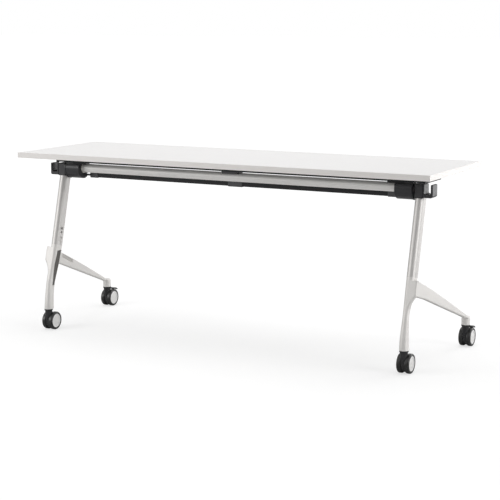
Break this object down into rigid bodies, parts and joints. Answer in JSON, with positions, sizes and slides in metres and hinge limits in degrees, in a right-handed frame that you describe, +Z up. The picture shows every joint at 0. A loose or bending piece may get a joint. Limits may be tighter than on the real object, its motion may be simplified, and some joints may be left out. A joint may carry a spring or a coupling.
{
  "type": "flip-top classroom desk",
  "caption": "Long white flip-top desk on two leaning silver legs with splayed feet and lockable twin-wheel casters, with a release bar under the board.",
  "frame": {"origin": "on the floor, under the middle of the desk's box", "axes": "+X to the desk's right along the board, +Y to the rear, where the splayed branches of the feet point, +Z up"},
  "size_m": [1.8, 0.627, 0.745],
  "materials": {
    "particle_board": "raw pressed board, hidden inside the facings",
    "white_laminate": "off-white laminate with a fine satin grain",
    "backing_laminate": "plain off-white backing sheet",
    "edge_band": "warm off-white edge band, satin",
    "black_steel": "black powder coat, satin",
    "silver_steel": "silver-grey metallic coat, satin",
    "silver_tube": "silver-grey metallic coat on an extruded tube, satin",
    "silver_casting": "silver-grey metallic coat on a casting, satin",
    "black_casting": "black coat, satin",
    "black_plastic": "black moulded plastic, fine spark grain",
    "charcoal_plastic": "charcoal moulded plastic",
    "grey_insert": "dark grey insert",
    "beige_insert": "plain warm grey cover plate, satin",
    "caster_plastic": "black nylon, slightly shiny",
    "tread": "black soft tread",
    "wheel_core": "white nylon wheel centre",
    "bearing_plastic": "natural bearing plastic",
    "plain_steel": "zinc-plated steel"
  },
  "bodies": {
    "base": {"bag_hook_left": "black_plastic", "bag_hook_right": "black_plastic", "caster_stems": "plain_steel", "column_left": "silver_tube", "column_right": "silver_tube", "cross_beam": "silver_steel", "foot_left": "silver_casting", "foot_right": "silver_casting", "hook_screws": "plain_steel", "leg_head_left": "black_casting", "leg_head_right": "black_casting", "leg_screws": "plain_steel", "lock_discs": "plain_steel", "pocket_plates": "beige_insert", "slot_covers": "grey_insert"},
    "board": {"board_core": "particle_board", "board_facing": "white_laminate", "board_backing": "backing_laminate", "edge_strips": "edge_band", "front_rail": "black_steel", "bracket_screws": "plain_steel", "rail_screws": "plain_steel", "pivot_bushes": "bearing_plastic", "beam_saddle": "charcoal_plastic", "latch_pins": "plain_steel", "latch_springs": "plain_steel", "top_bracket_left": "black_steel", "top_bracket_right": "black_steel", "hinge_drum_left": "black_plastic", "hinge_drum_right": "black_plastic"},
    "release": {"release_bar": "black_steel", "bar_sleeves": "charcoal_plastic", "latch_left": "plain_steel", "latch_right": "plain_steel"},
    "swivel_front_left": {"caster_housing_front_left": "caster_plastic", "caster_axle_front_left": "plain_steel"},
    "wheel_front_left_l": {"tyre_front_left_l": "tread", "wheel_core_front_left_l": "wheel_core"},
    "wheel_front_left_r": {"tyre_front_left_r": "tread", "wheel_core_front_left_r": "wheel_core"},
    "swivel_front_right": {"caster_housing_front_right": "caster_plastic", "caster_axle_front_right": "plain_steel"},
    "wheel_front_right_l": {"tyre_front_right_l": "tread", "wheel_core_front_right_l": "wheel_core"},
    "wheel_front_right_r": {"tyre_front_right_r": "tread", "wheel_core_front_right_r": "wheel_core"},
    "swivel_rear_left": {"caster_housing_rear_left": "caster_plastic", "caster_axle_rear_left": "plain_steel"},
    "wheel_rear_left_l": {"tyre_rear_left_l": "tread", "wheel_core_rear_left_l": "wheel_core"},
    "wheel_rear_left_r": {"tyre_rear_left_r": "tread", "wheel_core_rear_left_r": "wheel_core"},
    "pedal_rear_left": {"brake_pedal_rear_left": "caster_plastic"},
    "swivel_rear_right": {"caster_housing_rear_right": "caster_plastic", "caster_axle_rear_right": "plain_steel"},
    "wheel_rear_right_l": {"tyre_rear_right_l": "tread", "wheel_core_rear_right_l": "wheel_core"},
    "wheel_rear_right_r": {"tyre_rear_right_r": "tread", "wheel_core_rear_right_r": "wheel_core"},
    "pedal_rear_right": {"brake_pedal_rear_right": "caster_plastic"}
  },
  "joints": [
    {"name": "board_flip", "type": "hinge", "parent": "base", "child": "board", "pos_m": [0, -0.1205, 0.672], "axis": [-1, 0, 0], "range_deg": [0, 90]},
    {"name": "release_pull", "type": "hinge", "parent": "board", "child": "release", "pos_m": [0, -0.0915, 0.7], "axis": [1, 0, 0], "range_deg": [0, 8], "stiffness_Nm_per_rad": 8, "springref_deg": -14.32},
    {"name": "turn_front_left", "type": "hinge", "parent": "base", "child": "swivel_front_left", "pos_m": [-0.7955, -0.2675, 0.09], "axis": [0, 0, 1], "continuous": true},
    {"name": "roll_front_left_l", "type": "hinge", "parent": "swivel_front_left", "child": "wheel_front_left_l", "pos_m": [-0.7955, -0.247, 0.0375], "axis": [1, 0, 0], "continuous": true},
    {"name": "roll_front_left_r", "type": "hinge", "parent": "swivel_front_left", "child": "wheel_front_left_r", "pos_m": [-0.7955, -0.247, 0.0375], "axis": [1, 0, 0], "continuous": true},
    {"name": "turn_front_right", "type": "hinge", "parent": "base", "child": "swivel_front_right", "pos_m": [0.7955, -0.2675, 0.09], "axis": [0, 0, 1], "continuous": true},
    {"name": "roll_front_right_l", "type": "hinge", "parent": "swivel_front_right", "child": "wheel_front_right_l", "pos_m": [0.7955, -0.247, 0.0375], "axis": [1, 0, 0], "continuous": true},
    {"name": "roll_front_right_r", "type": "hinge", "parent": "swivel_front_right", "child": "wheel_front_right_r", "pos_m": [0.7955, -0.247, 0.0375], "axis": [1, 0, 0], "continuous": true},
    {"name": "turn_rear_left", "type": "hinge", "parent": "base", "child": "swivel_rear_left", "pos_m": [-0.85, 0.2555, 0.09], "axis": [0, 0, 1], "continuous": true},
    {"name": "roll_rear_left_l", "type": "hinge", "parent": "swivel_rear_left", "child": "wheel_rear_left_l", "pos_m": [-0.85, 0.276, 0.0375], "axis": [1, 0, 0], "continuous": true},
    {"name": "roll_rear_left_r", "type": "hinge", "parent": "swivel_rear_left", "child": "wheel_rear_left_r", "pos_m": [-0.85, 0.276, 0.0375], "axis": [1, 0, 0], "continuous": true},
    {"name": "brake_rear_left", "type": "hinge", "parent": "swivel_rear_left", "child": "pedal_rear_left", "pos_m": [-0.85, 0.267, 0.08], "axis": [-1, 0, 0], "range_deg": [0, 7]},
    {"name": "turn_rear_right", "type": "hinge", "parent": "base", "child": "swivel_rear_right", "pos_m": [0.85, 0.2555, 0.09], "axis": [0, 0, 1], "continuous": true},
    {"name": "roll_rear_right_l", "type": "hinge", "parent": "swivel_rear_right", "child": "wheel_rear_right_l", "pos_m": [0.85, 0.276, 0.0375], "axis": [1, 0, 0], "continuous": true},
    {"name": "roll_rear_right_r", "type": "hinge", "parent": "swivel_rear_right", "child": "wheel_rear_right_r", "pos_m": [0.85, 0.276, 0.0375], "axis": [1, 0, 0], "continuous": true},
    {"name": "brake_rear_right", "type": "hinge", "parent": "swivel_rear_right", "child": "pedal_rear_right", "pos_m": [0.85, 0.267, 0.08], "axis": [-1, 0, 0], "range_deg": [0, 7]}
  ]
}
